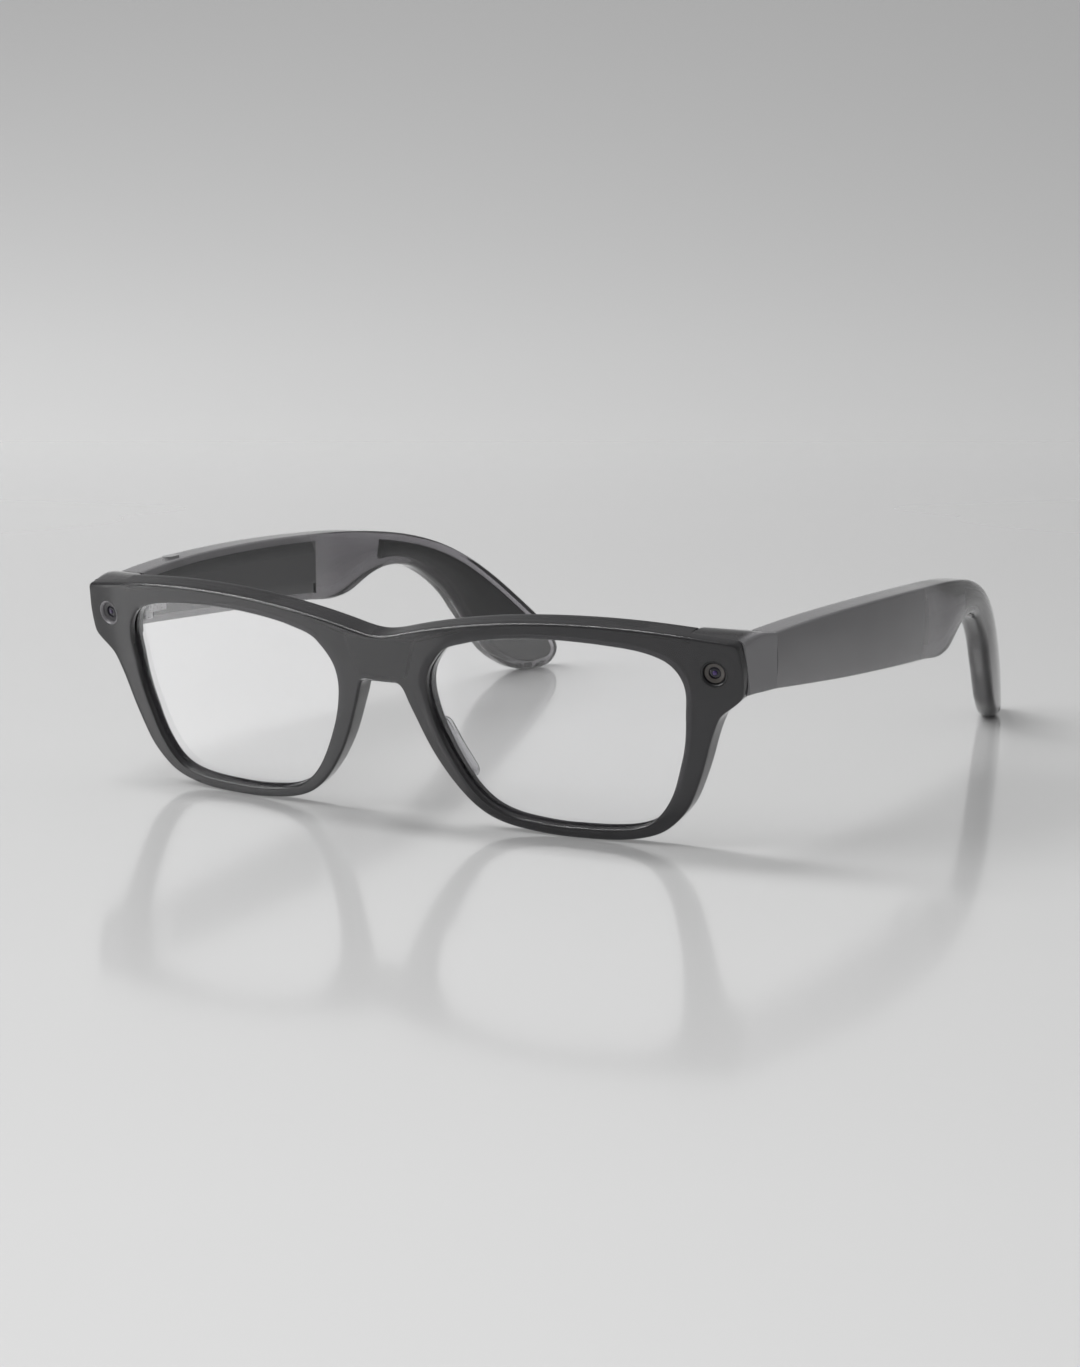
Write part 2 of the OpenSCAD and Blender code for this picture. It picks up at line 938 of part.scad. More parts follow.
// A rounded bar of length l along Y and width w, up to height 60.
module pill(l, w, h) {
    translate([0, 0, 40]) {
        translate([-w / 2, -(l - w) / 2, 0])
            cube([w, l - w, h]);
        for (s = [-1, 1])
            translate([0, s * (l - w) / 2, 0])
                cylinder(r = w / 2, h = h, $fn = 48);
    }
}

module capture_button() {
    color("#58575a")
        right() {
            intersection() {
                at_button()
                    pill(button_l, button_w, 8);
                translate([button_x - 5, button_y - 5, flange_top - eps])
                    cube([10, 10, button_top - flange_top + eps]);
            }
            translate([button_x - 1.6, button_y - 3.1, flange_top - flange_h])
                cube([3.2, 6.2, flange_h]);
        }
}

module tactile_element() {
    color("#c4c5c7")
        right()
            translate([button_x - 1.1, button_y - 1.5, flange_top - flange_h - button_travel - 1.45])
                cube([2.2, 3, 1.4]);
}

module power_switch() {
    color("#2f2f32")
        at_switch() {
            translate([-0.6, -knob_l / 2, -knob_h / 2])
                cube([0.6 + cover_t + 0.3, knob_l, knob_h]);
            translate([cover_t + 0.2, -knob_l / 2 - 0.8, -knob_h / 2 - 0.8])
                cube([0.7, knob_l + 1.6, knob_h + 1.6]);
        }
}

module switch_body() {
    color("#c4c5c7")
        at_switch()
            translate([cover_t + 1.05, -knob_l / 2 - 0.6, -1.6])
                cube([1.2, knob_l + switch_travel + 1.2, 3.2]);
}

front_frame();
lens_left();
lens_right();
end_block_left();
end_block_right();
rear_strip();
bridge_insert();
flat_cable();
charge_contacts();
nose_pad_left();
nose_pad_right();
camera_trim();
camera_lens();
camera_barrel();
camera_board();
light_trim();
light_window();
light_housing();
light_board();
hinge_leaf_front_left();
hinge_leaf_front_right();
hinge_pin_left();
hinge_pin_right();
temple_shell_left();
temple_cover_left();
main_board();
battery_left();
speaker_left();
speaker_grille_left();
temple_core_left();
hinge_leaf_temple_left();
switch_body();
power_switch();
temple_shell_right();
temple_cover_right();
touch_strip();
battery_right();
speaker_right();
speaker_grille_right();
temple_core_right();
hinge_leaf_temple_right();
tactile_element();
capture_button();
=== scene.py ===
"""Looks of the smart glasses: smooth pieces with rounded edges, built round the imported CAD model."""
import math

import bmesh
import bpy
import numpy as np
from mathutils import Matrix, Vector


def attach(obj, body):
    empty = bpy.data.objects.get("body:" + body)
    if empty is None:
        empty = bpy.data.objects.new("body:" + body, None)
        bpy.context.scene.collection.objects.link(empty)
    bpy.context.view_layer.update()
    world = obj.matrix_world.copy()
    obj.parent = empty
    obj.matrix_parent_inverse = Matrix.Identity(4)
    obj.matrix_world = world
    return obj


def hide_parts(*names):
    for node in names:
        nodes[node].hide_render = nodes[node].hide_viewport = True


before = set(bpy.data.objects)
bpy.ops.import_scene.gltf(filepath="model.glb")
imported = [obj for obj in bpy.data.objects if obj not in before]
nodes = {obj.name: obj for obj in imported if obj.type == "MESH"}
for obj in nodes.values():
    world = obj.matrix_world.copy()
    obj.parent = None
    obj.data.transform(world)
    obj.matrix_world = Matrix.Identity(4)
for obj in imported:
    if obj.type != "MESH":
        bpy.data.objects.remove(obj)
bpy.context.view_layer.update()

# ---------------------------------------------------------------- design sizes, in millimetres
HALF_W, LEAN, WRAP, DEPTH, FLARE = 75.45, math.radians(12.1), 363.0, 4.2, math.radians(2.3)
WALL_N, LENS_SET, LENS_T, BITE = 2.1, 1.35, 1.8, 0.7
SINK, MODULE_X, MODULE_S, MODULE_BORE = 0.46, 70.05, 35.2, 2.63
SEAM, TEMPLE_Y, BOW_Y, BOW_X, BOW_T = 12.0, 12.15, 60.0, 79.9, 6.6
BOW_FRONT_R, BOW_REAR_R, BOW_REAR_IN_R = 400, 300, 315
FIT, FRONT_EDGE, COVER_FROM, COVER_TO = 0.05, 0.5, 16.9, 79.9
BRIDGE_LOW, CORNER_X, CORNER_TOP, TOP_FALL = 29.35, 73.9, 41.2, 0.158
BLOCK_IN, BLOCK_LOW, BLOCK_EDGE = 65.26, 31.2, 0.55
HOLLOW_X, HOLLOW_Y, HOLLOW_R, HOLLOW_FROM = 61.5, 13.5, 9, 5.32
FRONT_Y = -(SEAM + 0.15 + 151.7 - 40.47 * math.sin(LEAN)) / 2

# Outlines as knots of (across or along, up, heading in degrees), joined by smooth curves.
FRONT = [
    (0, 39, 0), (8, 40.5, 13), (22, 43, 7.5), (41, 44.15, 0), (60, 43.1, -6.5), (73.9, 41.2, -9),
    (75.05, 39.9, -86), (75.45, 35, -90), (75.1, 30.9, -101), (73.4, 28.8, -140), (69.9, 25.6, -117),
    (67.2, 18.6, -107), (63.6, 9.3, -115), (58.5, 3.2, -142), (52.5, 0.75, -168), (42, 0, -180),
    (30, 0.75, 172), (21.5, 2.9, 155), (15.2, 8.05, 130), (10.4, 15.1, 119), (7.3, 22, 112),
    (5.4, 26.9, 108), (3.4, 29.35, 180), (0, 29.35, 180)]
LENS = [
    (37, 40.85, 0), (52, 39.85, -7), (60.3, 37.6, -28), (63.9, 32.8, -76), (63.7, 26, -94),
    (62.1, 17, -108), (59, 8.8, -121), (54.2, 3.85, -155), (47, 2.35, -176), (38, 2.2, -180),
    (29, 3, 172), (22.5, 5, 152), (17.3, 9.85, 125), (13, 17.9, 114), (10.5, 26.2, 99),
    (10.7, 31.3, 75), (14, 36.4, 48), (20, 39, 16), (28, 40.35, 6), (37, 40.85, 0)]
CHANNEL = [(0, 36.9, 0), (8, 37.9, 13), (22, 41.6, 8), (41, 42.9, 0), (55, 42, -6), (65, 40.4, -10)]
TEMPLE = [
    (0, 42, 4), (16, 42.75, 1.5), (32, 42.85, -0.5), (63, 41.95, -3), (85.7, 40.3, -6.5),
    (105.6, 37.05, -14), (118, 32.8, -24.5), (131, 25.1, -36), (144.3, 14.3, -41), (151.2, 6.4, -62),
    (151.1, 2.3, -122), (144, 0, -180), (135.5, 2.2, 150), (128.5, 7.3, 131), (119, 18.8, 127),
    (110.9, 26.2, 146), (103, 30.1, 165), (96, 31.05, 180), (88.5, 29.7, -162), (82, 27.1, -160),
    (75.5, 26, -178), (64, 26.9, 176.4), (28, 29.15, 176.4), (0, 31.1, 176.2)]
PAD = [
    (9.3, 19.6, 95), (11, 21.6, 0), (12.9, 19.8, -65), (15.2, 14.4, -65), (17, 10.4, -75),
    (15.6, 8.7, -180), (13.6, 10.6, 121), (11.2, 14.8, 119), (9.3, 19.6, 95)]


# ---------------------------------------------------------------- curves
def at(knots, u):
    """The point at u, in knots, of the smooth curve through knots of position and heading."""
    i = min(int(u), len(knots) - 2)
    t, (a, b) = u - i, (knots[i], knots[i + 1])
    turn = abs((b[2] - a[2] + 900) % 360 - 180)
    reach = math.dist(a[:2], b[:2]) * (
        1 / 3 if turn < 1 else 2 / 3 * math.tan(math.radians(turn) / 4) / math.sin(math.radians(turn) / 2))
    p = [np.array(a[:2], float), None, None, np.array(b[:2], float)]
    p[1] = p[0] + reach * np.array([math.cos(math.radians(a[2])), math.sin(math.radians(a[2]))])
    p[2] = p[3] - reach * np.array([math.cos(math.radians(b[2])), math.sin(math.radians(b[2]))])
    s = 1 - t
    return s**3 * p[0] + 3 * s * s * t * p[1] + 3 * s * t * t * p[2] + t**3 * p[3]


def lens_at(u):
    return at(LENS, u % (len(LENS) - 1))


def normals(points, closed):
    """Outward normals of a clockwise line of points."""
    n = len(points)
    v = [points[(i + 1) % n] - points[i - 1] if closed else points[min(i + 1, n - 1)] - points[max(i - 1, 0)]
         for i in range(n)]
    v = np.array(v, float)
    v /= np.linalg.norm(v, axis=1)[:, None]
    return np.stack([-v[:, 1], v[:, 0]], 1)


def smooth(t):
    t = min(max(t, 0.0), 1.0)
    return t * t * (3 - 2 * t)


def quarter(r, n=5):
    """(distance in from the edge, depth below the face) round a quarter circle, from the wall to the face."""
    return [(r * (1 - math.cos(a)), r * (1 - math.sin(a))) for a in np.linspace(0, math.pi / 2, n + 1)]


# ---------------------------------------------------------------- surfaces of the front
def face_n(x, e=0.0):
    """Depth of the surface e behind the front face."""
    return WRAP - math.sqrt((WRAP - e) ** 2 - x * x)


def rear_n(x, s, e=0.0):
    """Depth of the surface e in front of the rear face."""
    return WRAP + (s * math.sin(FLARE) - math.sqrt((WRAP - DEPTH + e) ** 2 - x * x)) / math.cos(FLARE)


def placed(x, n, s):
    """A point of the sloped front, in the row frame."""
    return (x, FRONT_Y + n * math.cos(LEAN) - s * math.sin(LEAN), n * math.sin(LEAN) + s * math.cos(LEAN) - SINK)


# ---------------------------------------------------------------- mesh helpers
class Shape:
    """Points in millimetres, and the faces between them."""

    def __init__(self):
        self.points, self.faces = [], []

    def row(self, points):
        start = len(self.points)
        self.points += [tuple(float(v) for v in p) for p in points]
        return list(range(start, start + len(points)))

    def strip(self, a, b, closed=False):
        n = len(a)
        for i in range(n if closed else n - 1):
            j = (i + 1) % n
            self.faces.append((a[i], a[j], b[j], b[i]))

    def rows(self, rows, closed=False):
        for a, b in zip(rows, rows[1:]):
            self.strip(a, b, closed)

    def fan(self, loop, flip=False):
        self.faces.append(tuple(reversed(loop)) if flip else tuple(loop))

    def mirrored(self):
        n = len(self.points)
        self.points += [(-x, y, z) for x, y, z in self.points]
        self.faces += [tuple(v + n for v in reversed(f)) for f in self.faces]

    def build(self, name, sharp=40, weld=0.004, flip_x=False):
        pts = [(-x if flip_x else x, y, z) for x, y, z in self.points]
        mesh = bpy.data.meshes.new(name)
        mesh.from_pydata([tuple(v / 1000 for v in p) for p in pts], [], self.faces)
        bm = bmesh.new()
        bm.from_mesh(mesh)
        bmesh.ops.remove_doubles(bm, verts=bm.verts, dist=weld / 1000)
        bmesh.ops.dissolve_degenerate(bm, edges=bm.edges, dist=weld / 4000)
        bmesh.ops.recalc_face_normals(bm, faces=bm.faces)
        for f in bm.faces:
            f.smooth = True
        for e in bm.edges:
            e.smooth = len(e.link_faces) != 2 or e.calc_face_angle(0) < math.radians(sharp)
        bm.to_mesh(mesh)
        bm.free()
        obj = bpy.data.objects.new(name, mesh)
        bpy.context.scene.collection.objects.link(obj)
        return obj


def cut(obj, cutter):
    """Takes cutter out of obj and applies it."""
    m = obj.modifiers.new("cut", "BOOLEAN")
    m.operation, m.object, m.solver = "DIFFERENCE", cutter, "EXACT"
    dg = bpy.context.evaluated_depsgraph_get()
    mesh = bpy.data.meshes.new_from_object(obj.evaluated_get(dg))
    obj.modifiers.clear()
    old, obj.data = obj.data, mesh
    mesh.name = old.name
    bpy.data.meshes.remove(old)
    bpy.data.objects.remove(cutter)
    bm = bmesh.new()
    bm.from_mesh(mesh)
    for e in bm.edges:
        e.smooth = len(e.link_faces) != 2 or e.calc_face_angle(0) < math.radians(30)
    for f in bm.faces:
        f.smooth = True
    bm.to_mesh(mesh)
    bm.free()


# ---------------------------------------------------------------- front
# The place on the lens opening that faces each knot of the front's outline.
PAIRS = [-3.2, -2.75, -1.8, 0.25, 1.75, 2.35, 2.5, 2.95, 3.35, 3.6, 4.05, 4.85, 5.9, 6.9, 7.5, 8.6, 9.85,
         10.9, 11.85, 12.75, 13.55, 14.05, 14.35, 14.6]


def front_stations():
    """Pairs of outer and inner points round one half, and the number of pairs on the outline itself."""
    outer, inner = [], []
    for i in range(len(FRONT) - 1):
        n = max(6, round(math.dist(FRONT[i][:2], FRONT[i + 1][:2]) / 1.1))
        for k in range(n):
            outer.append(at(FRONT, i + k / n))
            inner.append(lens_at(PAIRS[i] + (PAIRS[i + 1] - PAIRS[i]) * k / n))
    outer.append(at(FRONT, len(FRONT) - 1))
    inner.append(lens_at(PAIRS[-1]))
    on_outline = len(outer)
    for k in range(1, 9):
        outer.append(np.array([0, BRIDGE_LOW + 9.65 * k / 9]))
        inner.append(lens_at(14.6 + 1.2 * k / 9))
    return np.array(outer), np.array(inner), on_outline


def build_front():
    outer, inner, m = front_stations()
    grow_in, grow_out = normals(inner, True), normals(outer[:m], False)
    grow_out[0] = grow_out[-1] = 0, 0
    grow_out[0, 1], grow_out[-1, 1] = 1, -1
    s = Shape()

    def ring(points, surface):
        return s.row([placed(p[0], surface(p), p[1]) for p in points])

    inner_edge = inner + grow_in * FRONT_EDGE
    outer_edge = outer.copy()
    outer_edge[:m] -= grow_out * FRONT_EDGE
    top, low = outer_edge[0, 1], outer_edge[m - 1, 1]
    outer_edge[m:, 1] = [low + (top - low) * k / 9 for k in range(1, 9)]
    for side in (0, 1):
        surface = (lambda p, e: face_n(p[0], e)) if side == 0 else (lambda p, e: rear_n(p[0], p[1], e))
        wall_in = [ring(inner + grow_in * d, lambda p: surface(p, e)) for d, e in quarter(FRONT_EDGE)]
        mid = [ring(inner_edge + (outer_edge - inner_edge) * k / 7, lambda p: surface(p, 0)) for k in range(8)]
        s.rows(wall_in, True)
        s.rows(mid, True)
        edge = [ring(outer[:m] - grow_out * d, lambda p: surface(p, e)) for d, e in quarter(FRONT_EDGE)]
        s.rows(edge)
        if side == 0:
            front_in, front_out = wall_in[0], edge[0]
        else:
            rear_in, rear_out = wall_in[0], edge[0]
    groove = [(0, LENS_SET - FIT), (BITE + FIT, LENS_SET - FIT), (BITE + FIT, LENS_SET + LENS_T + FIT),
              (0, LENS_SET + LENS_T + FIT)]
    grooved = [ring(inner + grow_in * g, lambda p: face_n(p[0], e)) for g, e in groove]
    s.rows([front_in] + grooved + [rear_in], True)
    walls = [front_out]
    for k in range(1, 5):
        walls.append(ring(outer[:m], lambda p: face_n(p[0], FRONT_EDGE) * (1 - k / 5)
                          + rear_n(p[0], p[1], FRONT_EDGE) * k / 5))
    s.rows(walls + [rear_out])
    s.mirrored()
    return s.build("front_frame_skin", 35)


def rebate_cutter(side):
    """The room behind the front wall that an end block takes up."""
    s = Shape()
    xs = np.linspace(65.2, 80, 9)
    near = [s.row([placed(x, face_n(x, WALL_N), v) for x in xs]) for v in (29.8, 50)]
    far = [s.row([placed(x, face_n(x, WALL_N) + 12, v) for x in xs]) for v in (29.8, 50)]
    s.strip(near[0], near[1])
    s.strip(far[1], far[0])
    s.strip(far[0], near[0])
    s.strip(near[1], far[1])
    s.faces.append((near[0][0], far[0][0], far[1][0], near[1][0]))
    s.faces.append((near[0][-1], near[1][-1], far[1][-1], far[0][-1]))
    return s.build("cutter", 30, flip_x=side < 0)


def module_axes(side):
    """Origin on the front face, and the directions across, up and in, of a camera or light module."""
    angle = math.asin(MODULE_X / WRAP)
    sloped = Matrix.Rotation(LEAN, 3, "X")
    turned = sloped @ Matrix.Rotation(angle, 3, "Z")
    origin = Vector(placed(MODULE_X, face_n(MODULE_X), MODULE_S))
    across, inward, up = (turned @ Vector(v) for v in ((1, 0, 0), (0, 1, 0), (0, 0, 1)))
    if side < 0:
        origin.x, across.x, inward.x, up.x = -origin.x, -across.x, -inward.x, -up.x
    return origin, across, up, inward


def lathe(name, profile, axes, count=72, closed=True, sharp=40):
    """Turns a profile of (radius, depth) about a module's axis."""
    origin, across, up, inward = axes
    s = Shape()
    rows = []
    for r, d in profile:
        if r < 1e-6:
            rows.append(s.row([origin + inward * d]))
        else:
            rows.append(s.row([
                origin + inward * d + (across * math.cos(a) + up * math.sin(a)) * r
                for a in np.linspace(0, 2 * math.pi, count, endpoint=False)]))
    pairs = list(zip(rows, rows[1:])) + ([(rows[-1], rows[0])] if closed else [])
    for a, b in pairs:
        if len(a) == 1 and len(b) == 1:
            continue
        if len(a) == 1 or len(b) == 1:
            hub, rim = (a, b) if len(a) == 1 else (b, a)
            for i in range(count):
                s.faces.append((hub[0], rim[i], rim[(i + 1) % count]))
        else:
            s.strip(a, b, True)
    return s.build(name, sharp)


def build_lens(name, side):
    """A curved lens with a small bevel, gridded from its middle outwards."""
    edge = np.array([lens_at(19 * k / 152) for k in range(152)])
    out = normals(edge, True)
    rim = edge + out * BITE
    centre = rim.mean(0)
    s = Shape()
    for depth, flip in ((LENS_SET, 1), (LENS_SET + LENS_T, 0)):
        hub = s.row([placed(centre[0], face_n(centre[0], depth), centre[1])])
        rows = []
        for k in range(1, 13):
            w = k / 12
            ring = centre + (edge + out * (BITE - 0.2) - centre) * w
            rows.append(s.row([placed(p[0], face_n(p[0], depth), p[1]) for p in ring]))
        n = len(edge)
        for i in range(n):
            s.faces.append((hub[0], rows[0][i], rows[0][(i + 1) % n]))
        s.rows(rows, True)
        bevel = 0.2 if flip else -0.2
        rows.append(s.row([placed(p[0], face_n(p[0], depth + bevel), p[1]) for p in rim]))
        s.strip(rows[-2], rows[-1], True)
        if flip:
            first = rows[-1]
        else:
            s.strip(first, rows[-1], True)
    return s.build(name, 30, flip_x=side < 0)


def block_top(x, y):
    """Height of the top of an end block: it carries on the top of the front, then falls to the temple."""
    if x < CORNER_X:
        u = 4.0
        while at(FRONT, u)[0] < x and u < 5:
            u += 0.02
        height = at(FRONT, min(u, 5))[1]
    else:
        height = CORNER_TOP - TOP_FALL * (x - CORNER_X)
    rising = y * math.tan(LEAN) + height / math.cos(LEAN) - SINK
    falling = 42.0 + TOP_FALL * (SEAM - y)
    blend = 1.2
    soft = max(0.0, blend - abs(rising - falling)) / blend
    return min(rising, falling) - blend * soft**2 / 4


def build_end_block(name, side):
    """The block behind the corner of the front, up to the seam with the temple."""
    across, along = 10, 12

    def wall_y(x, z):
        n = face_n(x, WALL_N + FIT)
        return n / math.cos(LEAN) - (z + SINK) * math.tan(LEAN)

    def spot(u, w, kind, t):
        """u from the front wall to the seam, w from the inner to the outer side."""
        y = wall_y(BLOCK_IN, 38) * (1 - u) + SEAM * u
        start = BLOCK_IN
        if y >= HOLLOW_FROM:
            start = HOLLOW_X + HOLLOW_R * math.sin(math.acos(max(-1, min(1, (y - HOLLOW_Y) / HOLLOW_R))))
        for _ in range(3):
            r = BLOCK_EDGE if kind == "low" else BLOCK_EDGE + 0.6 * (1 - smooth((y - 1) / 8))
            d, e = (0, 0) if kind == "mid" else (r * (1 - math.cos(t)), r * (1 - math.sin(t)))
            x = start + (HALF_W + 1.5 * max(0, y - 2) / 10 - d - start) * w
            roof = block_top(x, y)
            if kind == "mid":
                z = BLOCK_LOW + BLOCK_EDGE + (roof - r - BLOCK_LOW - BLOCK_EDGE) * t
            else:
                z = BLOCK_LOW + e if kind == "low" else roof - e
            y = wall_y(x, z) * (1 - u) + SEAM * u
        return x, y + FRONT_Y, z

    around = [(0, w / across) for w in range(across)] + [(u / along, 1) for u in range(along)]
    around += [(1, 1 - w / across) for w in range(across)] + [(1 - u / along, 0) for u in range(along)]
    levels = [("low", a) for a in np.linspace(math.pi / 2, 0, 6)] + [("mid", k / 9) for k in range(1, 9)]
    levels += [("top", a) for a in np.linspace(0, math.pi / 2, 6)]
    s = Shape()
    rows = [s.row([spot(u, w, kind, t) for u, w in around]) for kind, t in levels]
    s.rows(rows, True)
    s.fan(rows[0], True)
    s.rows([s.row([spot(u / along, w / across, "top", math.pi / 2) for w in range(across + 1)])
            for u in range(along + 1)])
    return s.build(name, 38, flip_x=side < 0)


# ---------------------------------------------------------------- temples
def outer_x(y, a=0.0):
    """The outer face, moved in by a."""
    r = (BOW_FRONT_R if y < BOW_Y else BOW_REAR_R) - a
    return BOW_X - a - r + math.sqrt(r * r - (y - BOW_Y) ** 2)


def inner_x(y, a=0.0):
    """The inner face, moved out by a."""
    r = (BOW_FRONT_R if y < BOW_Y else BOW_REAR_IN_R) + a
    return BOW_X - BOW_T + a - r + math.sqrt(r * r - (y - BOW_Y) ** 2)


# Places on a temple's top line and the places on its low line that face them.
TOP_LOW = [
    (0, 23), (0.5, 22.72), (1, 22.43), (2, 21.89), (3, 21.03), (3.5, 20.15), (4, 18.55), (4.5, 17.12),
    (5, 16.1), (6, 15.0), (7, 14.0), (8, 13.1), (9, 12.15), (9.6, 11.75), (10, 11.4), (10.4, 11.1),
    (10.7, 10.9)]


def temple_stations(per=1.3):
    """Facing points of a temple's top and low lines, about per apart."""
    top, low = [], []
    for (a0, b0), (a1, b1) in zip(TOP_LOW, TOP_LOW[1:]):
        span = math.dist(at(TEMPLE, a0), at(TEMPLE, a1))
        n = max(3, round(span / per))
        for k in range(n):
            top.append(at(TEMPLE, a0 + (a1 - a0) * k / n))
            low.append(at(TEMPLE, b0 + (b1 - b0) * k / n))
    top.append(at(TEMPLE, TOP_LOW[-1][0]))
    low.append(at(TEMPLE, TOP_LOW[-1][1]))
    return np.array(top) + (TEMPLE_Y, 0), np.array(low) + (TEMPLE_Y, 0)


def side_solid(top, low, x_out, x_in, radius, crown=0.0, across=4, cells=8):
    """A bar whose side view lies between the lines top and low, with rounded edges, between two bowed faces."""
    n = len(top)
    line = np.concatenate([top, low[::-1]])
    grow = normals(line, False)
    grow[0] = (0, 1)
    grow[-1] = (0, -1)
    rad = np.array([radius(p[0]) for p in line])
    inset = line - grow * rad[:, None]
    s = Shape()
    mid = (inset[:n] + inset[n:][::-1]) / 2
    half = np.linalg.norm(inset[:n] - inset[n:][::-1], axis=1) / 2 + 1e-9

    def bulge(p, k):
        k = min(k, 2 * n - 1 - k)
        return crown * min(1.0, (np.linalg.norm(p - mid[k]) / half[k]) ** 2) * smooth(half[k] / 4)

    faces = []
    for surface, sign in ((x_out, 1), (x_in, -1)):
        grid = []
        for c in range(cells + 1):
            w = c / cells
            pts = inset[:n] * (1 - w) + inset[n:][::-1] * w
            grid.append(s.row([(surface(p[0]) - sign * bulge(p, k), p[0], p[1]) for k, p in enumerate(pts)]))
        s.rows(grid)
        rounding = []
        for step in np.linspace(math.pi / 2, 0, 6)[1:]:
            d = rad * (1 - math.cos(step))
            e = rad * (1 - math.sin(step))
            pts = line - grow * d[:, None]
            rounding.append(s.row([(surface(p[0]) - sign * (e[k] + bulge(p, k)), p[0], p[1])
                                   for k, p in enumerate(pts)]))
        border = grid[0] + grid[-1][::-1]
        s.rows([border] + rounding)
        faces.append((grid, rounding))
    outer, inner = faces[0][1][-1], faces[1][1][-1]
    last = outer
    for k in range(1, across):
        w = k / across
        row = s.row([tuple(np.array(s.points[a]) * (1 - w) + np.array(s.points[b]) * w)
                     for a, b in zip(outer, inner)])
        s.strip(last, row)
        last = row
    s.strip(last, inner)
    (grid_out, round_out), (grid_in, round_in) = faces
    for end, k_top, k_low in ((0, 0, 2 * n - 1), (-1, n - 1, n)):
        loop = [row[end] for row in grid_out][::-1] + [row[k_top] for row in round_out]
        loop += [row[k_top] for row in reversed(round_in)] + [row[end] for row in grid_in]
        loop += [row[k_low] for row in round_in] + [row[k_low] for row in reversed(round_out)]
        s.fan(loop, end != 0)
    s.points = [(x, y + FRONT_Y, z) for x, y, z in s.points]
    return s


def edge_radius(y):
    """Rounding of a temple's edges, larger on the ear hook."""
    return 0.6 + 1.3 * smooth((y - 92) / 30)


def build_temple(name, side):
    top, low = temple_stations()
    s = side_solid(top, low, outer_x, inner_x, edge_radius, crown=0.42)
    return s.build(name, 42, flip_x=side < 0)


def between(y0, y1, inset, per=1.5):
    """Top and low lines of a panel inset from a temple's side view."""
    top, low = temple_stations(1.0)
    line = np.concatenate([top, low[::-1]])
    grown = line - normals(line, False) * inset
    n = len(top)
    t, b = grown[:n], grown[n:][::-1]
    ys = np.linspace(y0, y1, max(4, round((y1 - y0) / per)) + 1)
    it = [i for i in range(n) if i == 0 or t[i][0] > t[:i, 0].max()]
    ib = [i for i in range(n) if i == 0 or b[i][0] > b[:i, 0].max()]
    tz = np.interp(ys, t[it][:, 0], t[it][:, 1])
    bz = np.interp(ys, b[ib][:, 0], b[ib][:, 1])
    return np.stack([ys, tz], 1), np.stack([ys, bz], 1)


def build_cover(name, side):
    """The panel that closes the inner side of a temple."""
    top, low = between(COVER_FROM, COVER_TO, 1.6)
    s = side_solid(top, low, lambda y: inner_x(y, 1.25), lambda y: inner_x(y, -0.1), lambda y: 0.25,
                   across=2, cells=4)
    return s.build(name, 50, flip_x=side < 0)


def build_core(name, side):
    """The dark core of an ear hook, inside the clear plastic."""
    top, low = temple_stations()
    line = np.concatenate([top, low[::-1]])
    grown = line - normals(line, False) * 2.15
    n = len(top)
    keep = [i for i in range(n) if grown[i][0] > 105.6 and grown[2 * n - 1 - i][0] > 105.0]
    t, b = grown[keep], grown[[2 * n - 1 - i for i in keep]]
    s = side_solid(t, b, lambda y: outer_x(y, 1.55), lambda y: outer_x(y, 4.15), lambda y: 0.7, cells=6)
    return s.build(name, 45, flip_x=side < 0)


def build_pad(name, side):
    """A nose pad: a mound that swells from its outline to a ridge along the spine."""
    edge = np.array([at(PAD, 8 * k / 96) for k in range(96)])
    out = normals(edge, True)
    centre = edge.mean(0)
    s = Shape()
    spine = [np.array([11.2, 19.0]), np.array([15.6, 11.2])]

    def toward(p):
        a, b = spine
        t = min(1, max(0, float(np.dot(p - a, b - a) / np.dot(b - a, b - a))))
        return a + (b - a) * t

    rows = []
    for k in range(15):
        w = 1 - k / 14
        ring = [toward(p) + (p - toward(p)) * w for p in edge]
        height = 2.7 * math.sqrt(max(0.0, 1 - w**2.6)) if k else -0.3
        rows.append(s.row([placed(p[0], rear_n(p[0], p[1]) + height * (0.72 + 0.28 * smooth((21 - p[1]) / 12)), p[1])
                           for p in ring]))
    s.rows(rows, True)
    s.fan(rows[0], True)
    return s.build(name, 60, weld=0.01, flip_x=side < 0)


def build_strip(name):
    """The strip along the rear of the top bar."""
    half = [at(CHANNEL, 5 * k / 90) for k in range(91)]
    line = np.array([(-p[0], p[1]) for p in reversed(half[1:])] + half)
    grow = normals(line, False)
    s = Shape()
    rows = []
    for w, e in ((-0.5, 0.3), (-0.5, -0.02), (-0.42, -0.07), (0.42, -0.07), (0.5, -0.02), (0.5, 0.3)):
        pts = line + grow * w
        rows.append(s.row([placed(p[0], rear_n(p[0], p[1], e), p[1]) for p in pts]))
    s.rows(rows)
    s.strip(rows[-1], rows[0])
    for end in (0, -1):
        s.fan([r[end] for r in rows])
    return s.build(name, 50)


